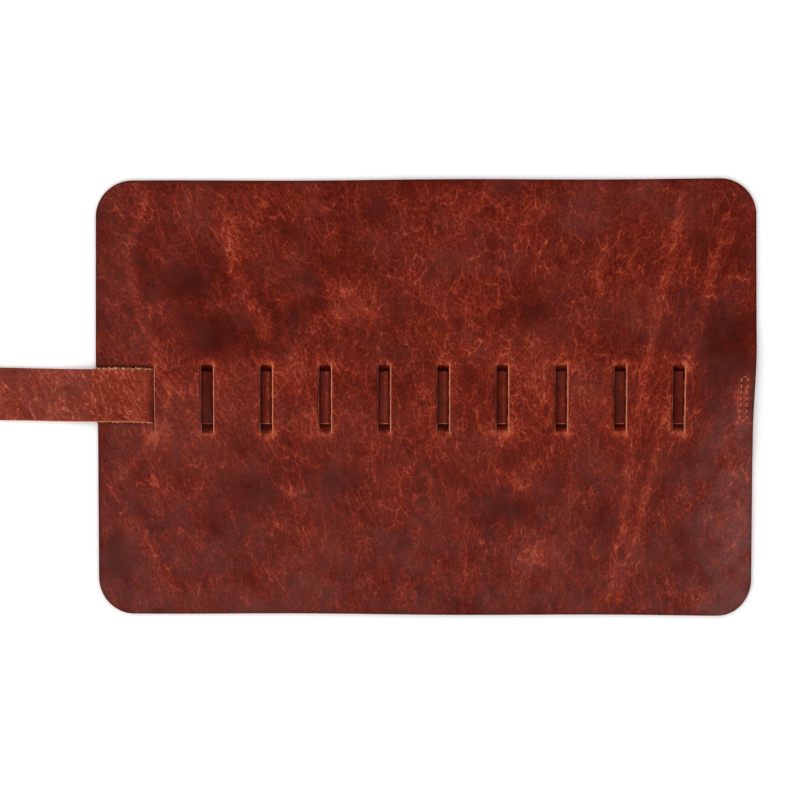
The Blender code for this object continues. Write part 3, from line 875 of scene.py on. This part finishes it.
def leather_finish(name, ramp, ground, seed, lean, strength, pull, rough):
    """lean says how the creases run: the slope at the left edge and its change for each mm."""
    f = Finish(name)
    spot = f.place((seed, seed * 0.7, 0.0))
    x, y = f.parts(f.place((-SHEET_LEFT / MM, 0.0, 0.0)))
    along = x + y * (lean[0] + x * lean[1])
    drawn = f.moved(f.joined(along + seed, y * 0.7), 10.0, 26.0, 1.0)
    bent = f.moved(drawn, 0.8, 4.0, 1.0)
    slim = f.stretched(bent, 0.42)
    clouds = f.noise(f.moved(spot, 14.0, 22.0, 2.0), 17.0, 4.0, 0.62)
    strands = f.noise(f.stretched(drawn, 0.5), 8.0, 3.0, 0.5)
    pulled = f.step(1 - f.away(strands, 0.5) * 2, 0.68, 0.92)
    wear = f.kept("wear")
    zone = f.step(f.noise(drawn, 12.0, 3.0, 0.55), 0.32, 0.58, 0.35, 1.0)
    other = f.step(f.noise(spot, 15.0, 3.0, 0.55), 0.35, 0.58, 0.25, 1.0)
    folded = f.node("ShaderNodeMath", {"operation": "PINGPONG"}, [strands * 9.0, 0.5])
    hairs = f.step(folded, 0.0, 0.12, 1.0, 0.0)
    lines = (net(f, bent, GRAIN_CELL, 0.11, 0.36) * 0.185
             + net(f, bent, WRINKLE, 0.05, 0.18) * zone * 0.19
             + net(f, slim, CREASE, 0.034, 0.12) * other * 0.30
             + hairs * pulled * pull) * strength
    web = (f.step(f.cells(bent, WEB), 0.04, 0.34, 1.0, 0.0) - 0.5) * f.step(wear, 0.1, 0.7)
    spots = f.step(f.noise(spot, 3.4, 2.0, 0.5, 0.5), 0.58, 0.74)
    fine = f.noise(spot, 0.42, 2.0, 0.65)
    glow = 0.9 + pulled * 0.2 + wear * 0.1 + (clouds - 0.5) * 0.5
    glow = glow * f.step(wear, -1.0, 0.0, 0.35, 1.04)
    tone = (ground + (clouds - 0.5) * 0.58 + pulled * 0.05 + wear * 0.21 + web * 0.15 + lines * glow
            - spots * 0.18 + (fine - 0.5) * 0.25)
    colour = f.node("ShaderNodeValToRGB", {"stops": ramp}, [tone.clipped()])
    cool = f.step(f.noise(spot, 38.0, 3.0, 0.55), 0.46, 0.66, 0.0, 0.3)
    colour = f.blend(cool, colour, COOL_RED)
    # the pale haze: painted sheen from the kept number, and a random wax haze from slow noise
    haze_and_sheen = f.kept("bloom") * f.step(f.noise(spot, 9.0, 2.0), 0.1, 0.7)
    haze_and_sheen = haze_and_sheen + f.step(f.noise(spot, 26.0, 4.0, 0.6), 0.46, 0.66) * 0.16
    colour = f.blend(haze_and_sheen * 0.045, colour, WAX_HAZE_AND_SHEEN)
    f.give("Base Color", colour)
    height = fine * 0.35 + clouds * 1.2 - lines * 3.0
    f.give("Normal", f.bump(height, 0.16 * MM))
    matt = rough + lines * 0.4 - wear * 0.03 + (fine - 0.5) * 0.15
    f.give("Roughness", matt.clipped())
    f.give("Specular IOR Level", WAX_GLOSS)
    f.give("Specular Tint", (1.0, 0.7, 0.6))
    print(name, "made")
    return f.material


SHEET_RAMP = [(0.0, (0.034, 0.0022, 0.001)), (0.3, (0.077, 0.0056, 0.0022)), (0.5, (0.126, 0.0106, 0.0046)),
              (0.7, (0.200, 0.0205, 0.0085)), (0.85, (0.275, 0.036, 0.0145)), (1.0, (0.35, 0.066, 0.030))]
STRAP_RAMP = [(0.0, (0.060, 0.0055, 0.003)), (0.3, (0.120, 0.0120, 0.0055)), (0.5, (0.180, 0.0215, 0.0095)),
              (0.7, (0.260, 0.038, 0.0170)), (0.85, (0.335, 0.060, 0.028)), (1.0, (0.44, 0.105, 0.06))]
sheet_grain = leather_finish("sheet_grain", SHEET_RAMP, ground=0.26, seed=0.0, lean=(0.5, -0.0024),
                             strength=1.0, pull=0.24, rough=0.38)
strap_grain = leather_finish("strap_grain", STRAP_RAMP, ground=0.32, seed=211.0, lean=(0.45, 0.0),
                             strength=1.15, pull=0.36, rough=0.42)

# %% [markdown]
# The cut edge shows the fibres in the middle of the hide, which the dye never quite reached. The
# flesh side is a short brown nap. Both are torn fibres at heart, so one helper makes them, with a fine
# noise for the fibres and a slow one for the dye that soaked in unevenly.

# %% Cut edge and flesh side
FIBRE_GLOSS = 0.2


def fibre_finish(name, dark, light, size, rough):
    """Torn fibres of about the given size in mm, darker where the kept number is low: where the wax soaked
    in, and where shade is painted.
    """
    f = Finish(name)
    spot = f.place()
    fuzz = f.noise(spot, size, 3.0, 0.7)
    drift = f.noise(spot, 14.0, 2.0)
    colour = f.blend(f.step(fuzz, 0.3, 0.7), dark, light)
    colour = f.blend(f.step(drift, 0.35, 0.7, 0.0, 0.35), colour, dark)
    soaked_and_shaded = (dark[0] * 0.6, dark[1] * 0.5, dark[2] * 0.5)
    colour = f.blend(f.step(f.kept("wear"), 0.2, -1.6), colour, soaked_and_shaded)
    f.give("Base Color", colour)
    f.give("Normal", f.bump(fuzz, 0.15 * MM))
    f.give("Roughness", (rough + fuzz * 0.1).clipped())
    f.give("Specular IOR Level", FIBRE_GLOSS)
    print(name, "made")
    return f.material


cut_edge = fibre_finish("cut_edge", (0.34, 0.072, 0.032), (0.62, 0.21, 0.11), 0.45, 0.75)
flesh_side = fibre_finish("flesh_side", (0.13, 0.045, 0.025), (0.24, 0.095, 0.055), 0.6, 0.85)

# %% Put the leather finishes on
for strips, grain in ((sheet_strips, sheet_grain), (strap_strips, strap_grain)):
    for strip, _, _ in strips:
        strip.data.materials[GRAIN] = grain
        strip.data.materials[CUT] = cut_edge
        strip.data.materials[FLESH] = flesh_side
print("finishes on", len(sheet_strips) + len(strap_strips), "strips")

# %% [markdown]
# ## Fibres on the strap's edges
# Where the strap lies over the sheet its cut edges are rubbed, and short fibres stand out of them. A
# fibre is a slim bent spike with three sides. The first one is modelled from a cone, and the rest are
# copies of it with their own place, length and lean, kept in one mesh for each strip.

# %% Make the fibres
FAR_FIBRES, NEAR_FIBRES = 130, 60
FIBRE_ROOT, FIBRE_TIP = 0.20, 0.06               # its radii in mm
FIBRE_LENGTHS = (0.9, 2.6)                       # in mm, and NEAR_SHARE of that on the near edge
NEAR_SHARE = 0.6
FIBRE_STRETCH = 26.6 * MM                        # how much of the strap over the sheet has them


def make_fibre(name):
    """One spike, as long as one unit before it is placed."""
    bpy.ops.object.select_all(action="DESELECT")
    bpy.ops.mesh.primitive_cone_add(vertices=3, radius1=FIBRE_ROOT, radius2=FIBRE_TIP, depth=1.0,
                                    location=(0, 0, 0.5))
    spike = bpy.context.object
    spike.name = name
    bpy.ops.object.mode_set(mode="EDIT")
    bpy.ops.mesh.select_all(action="SELECT")
    bpy.ops.mesh.subdivide(number_cuts=2)
    bpy.ops.object.mode_set(mode="OBJECT")
    return spike


def edge_spot(x, side):
    """A point on the strap's cut edge."""
    y = side * STRAP_HALF
    top = strap_surface(np.array([x]), np.array([y]), None)[0]
    return top - np.array([0, 0, 0.1 * MM])


rng = np.random.default_rng(4)
base_spike = make_fibre("fibre")
spike_points = points(base_spike)
fibre_groups = {}
for side, count in ((1, FAR_FIBRES), (-1, NEAR_FIBRES)):
    for _ in range(count):
        x = SHEET_LEFT + rng.uniform(-1 * MM, FIBRE_STRETCH)
        length = rng.uniform(*FIBRE_LENGTHS) * MM * (1.0 if side > 0 else NEAR_SHARE)
        lean = rng.normal(0, 0.8)
        rise = rng.uniform(0.0, 0.7)
        bend = rng.normal(0, 1.4)
        out = Vector((lean, side, rise)).normalized()
        turn = out.to_track_quat("Z", "X").to_matrix()
        local = spike_points.copy()
        local[:, 0] += bend * local[:, 2] ** 2 * 0.6
        local *= [1.0 * MM, 1.0 * MM, length]
        placed = local @ np.array(turn).T + edge_spot(x, side)
        group = "left_edge" if x > MIDDLES["left_edge"] else "strap_wrap_9"
        fibre_groups.setdefault(group, []).append(placed)
fibre_pieces = []
for body, all_points in fibre_groups.items():
    copies = []
    for placed in all_points:
        twin = bpy.data.objects.new("fibre_copy", base_spike.data.copy())
        bpy.context.collection.objects.link(twin)
        set_points(twin, placed)
        copies.append(twin)
    gather(copies)
    bpy.ops.object.join()
    tuft = bpy.context.object
    tuft.name = f"edge_fibres_{len(fibre_pieces) + 1}"
    fibre_pieces.append((tuft, body, BODIES[BODIES.index(body) + 1]))
bpy.data.objects.remove(base_spike, do_unlink=True)
print(FAR_FIBRES + NEAR_FIBRES, "fibres in", len(fibre_pieces), "tufts")

# %% Fibre finish
f = Finish("loose_fibre")
where = f.node("ShaderNodeTexCoord", {}, {}, 3)
mottle = f.step(f.noise(where, 1.2 * MM, 1.0), 0.4, 0.6)
f.give("Base Color", f.blend(mottle, (0.38, 0.12, 0.045), (0.80, 0.40, 0.22)))
f.give("Roughness", 0.8)
f.give("Specular IOR Level", FIBRE_GLOSS)
for tuft, _, _ in fibre_pieces:
    dress(tuft, f.material)
print(f.material.name, "on", len(fibre_pieces), "tufts")

# %% [markdown]
# ## The box stitch
# The strap's end is sewn to the sheet with a narrow box of thread: two rows of stitches, joined by a
# stitch at each end. A stitch is a short bowed thread that dips into its two holes. One helper lays
# it from hole to hole over the leather, a little askew as sewing by hand is, and it is then made a mesh.

# %% Make the stitches
THREAD = 0.26 * MM              # the thread's radius
STITCH_STEPS = 8


def make_stitch(start, end, skew):
    """A thread from one hole to the next, bowed up between them and a little askew."""
    start, end = Vector(start), Vector(end)
    curve = bpy.data.curves.new("stitch", "CURVE")
    curve.dimensions = "3D"
    curve.bevel_depth = THREAD
    curve.bevel_resolution = 2
    curve.use_fill_caps = True
    spline = curve.splines.new("POLY")
    spline.points.add(STITCH_STEPS)
    for i, point in enumerate(spline.points):
        t = i / STITCH_STEPS
        at = start.lerp(end, 0.15 + 0.70 * t)
        at.x += skew * (t - 0.5)
        at.z += THREAD * (2.6 * math.sin(math.pi * t) ** 0.6 - 1.9)
        point.co = (*at, 1.0)
    thread = bpy.data.objects.new("stitch", curve)
    bpy.context.collection.objects.link(thread)
    return thread


def sewn_surface(x, y):
    """The leather's surface at one hole."""
    return tuple(sheet_surface(np.array([x]), np.array([y]), np.array([2.0]))[0])


holes = [[(x, y) for y in HOLE_Y] for x in STITCH_X]
runs = [(a, b) for row in holes for a, b in zip(row, row[1:])]
runs += [(holes[0][0], holes[1][0]), (holes[0][-1], holes[1][-1])]
skews = rng.normal(0, 0.22 * MM, len(runs))
stitches = [make_stitch(sewn_surface(*a), sewn_surface(*b), skew) for (a, b), skew in zip(runs, skews)]
gather(stitches)
bpy.ops.object.convert(target="MESH")
bpy.ops.object.join()
box_thread = bpy.context.object
box_thread.name = "box_thread"
bpy.ops.object.shade_smooth()
print(len(runs), "stitches")

# %% Thread finish
f = Finish("waxed_thread")
where = f.node("ShaderNodeTexCoord", {}, {}, 3)
lay = f.node("ShaderNodeTexWave", {"wave_type": "BANDS", "bands_direction": "DIAGONAL"},
             {"Vector": where, "Scale": 900.0, "Distortion": 0.6, "Detail": 1.0})
f.give("Base Color", f.blend(lay, (0.30, 0.046, 0.014), (0.58, 0.15, 0.055)))
f.give("Normal", f.bump(lay, 0.1 * MM))
f.give("Roughness", 0.6)
dress(box_thread, f.material)
print(f.material.name, "on", box_thread.name)

# %% [markdown]
# ## The leather in place of the frame's panels
# Every strip runs from the middle of one body to the middle of the next. It stands for the frame's
# plain panel, which is hidden, and the thread rides on the sewn end.

# %% Hide the frame's panels under the strips
for strips, prefix, material in ((sheet_strips, "panel_", "sheet_leather"),
                                 (strap_strips, "strap_", "strap_leather")):
    for number, (strip, body, after) in enumerate(strips, 1):
        covered = [body] + ([after] if number == len(strips) else [])
        nodes = [b if b.startswith("strap") else prefix + b for b in covered]
        bend_span(body)
        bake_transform(strip)
        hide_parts(*nodes)
        spots = points(strip)
for tuft, body, after in fibre_pieces:
    bend_span(body)
    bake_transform(tuft)
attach(box_thread, "right_end")
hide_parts("box_stitch")

# %% [markdown]
# ## Table, light and camera
# The roll lies on a white table and is seen from straight above. Five large soft lamps stand round it,
# with the strongest low on the left, so that every fold is lit from its side and no shadow is hard. A
# white surround fills the shade.

# %% Table
bpy.ops.object.select_all(action="DESELECT")
bpy.ops.mesh.primitive_plane_add(size=6.0, location=(0, 0, -0.1 * MM))
table = bpy.context.object
table.name = "table_top"
f = Finish("white_table")
f.give("Base Color", (0.86, 0.86, 0.86))
f.give("Roughness", 0.9)
f.give("Specular IOR Level", 0.1)
dress(table, f.material)
print("table", [round(v, 1) for v in table.dimensions], "m")

# %% Lamps
AIM = Vector((SHEET_MIDDLE, 0.0, 0.0))


def add_lamp(name, azimuth, elevation, distance, size, power):
    """A square soft lamp round the sheet's middle; azimuth 0 is at +X."""
    a, e = math.radians(azimuth), math.radians(elevation)
    direction = Vector((math.cos(a) * math.cos(e), math.sin(a) * math.cos(e), math.sin(e)))
    lamp = bpy.data.lights.new(name, "AREA")
    lamp.size = size
    lamp.energy = power
    thing = bpy.data.objects.new(name, lamp)
    thing.location = AIM + direction * distance
    thing.rotation_euler = (-direction).to_track_quat("-Z", "Y").to_euler()
    bpy.context.collection.objects.link(thing)


# each lamp: its name, how far round and how high in degrees, how far off and how wide in m, and watts
LAMPS = [("key_lamp", 236, 50, 1.5, 1.2, 7.8), ("left_lamp", 165, 50, 1.6, 1.2, 4.5),
         ("back_lamp", 78, 54, 1.7, 1.3, 6.0), ("right_lamp", 345, 54, 1.7, 1.3, 4.8),
         ("sheen_lamp", 262, 68, 1.7, 0.6, 1.8)]
for lamp in LAMPS:
    add_lamp(*lamp)
SURROUND = 0.60
world = bpy.data.worlds.new("studio")
world.use_nodes = True
world.node_tree.nodes["Background"].inputs["Color"].default_value = (1.0, 1.0, 1.0, 1.0)
world.node_tree.nodes["Background"].inputs["Strength"].default_value = SURROUND
bpy.context.scene.world = world
bpy.context.scene.view_settings.view_transform = "Standard"
print(len(LAMPS), "lamps")

# %% Camera
FIELD = 374.4 * MM              # how much of the table is seen from side to side
CAMERA_HEIGHT = 1.6
SENSOR = 36.0
camera = bpy.data.cameras.new("camera")
camera.sensor_width = SENSOR
camera.lens = SENSOR * CAMERA_HEIGHT / FIELD
camera_thing = bpy.data.objects.new("camera", camera)
camera_thing.location = (SHEET_MIDDLE - 12.2 * MM, -1.4 * MM, CAMERA_HEIGHT)
bpy.context.collection.objects.link(camera_thing)
bpy.context.scene.camera = camera_thing
print("camera lens", round(camera.lens, 1), "mm")
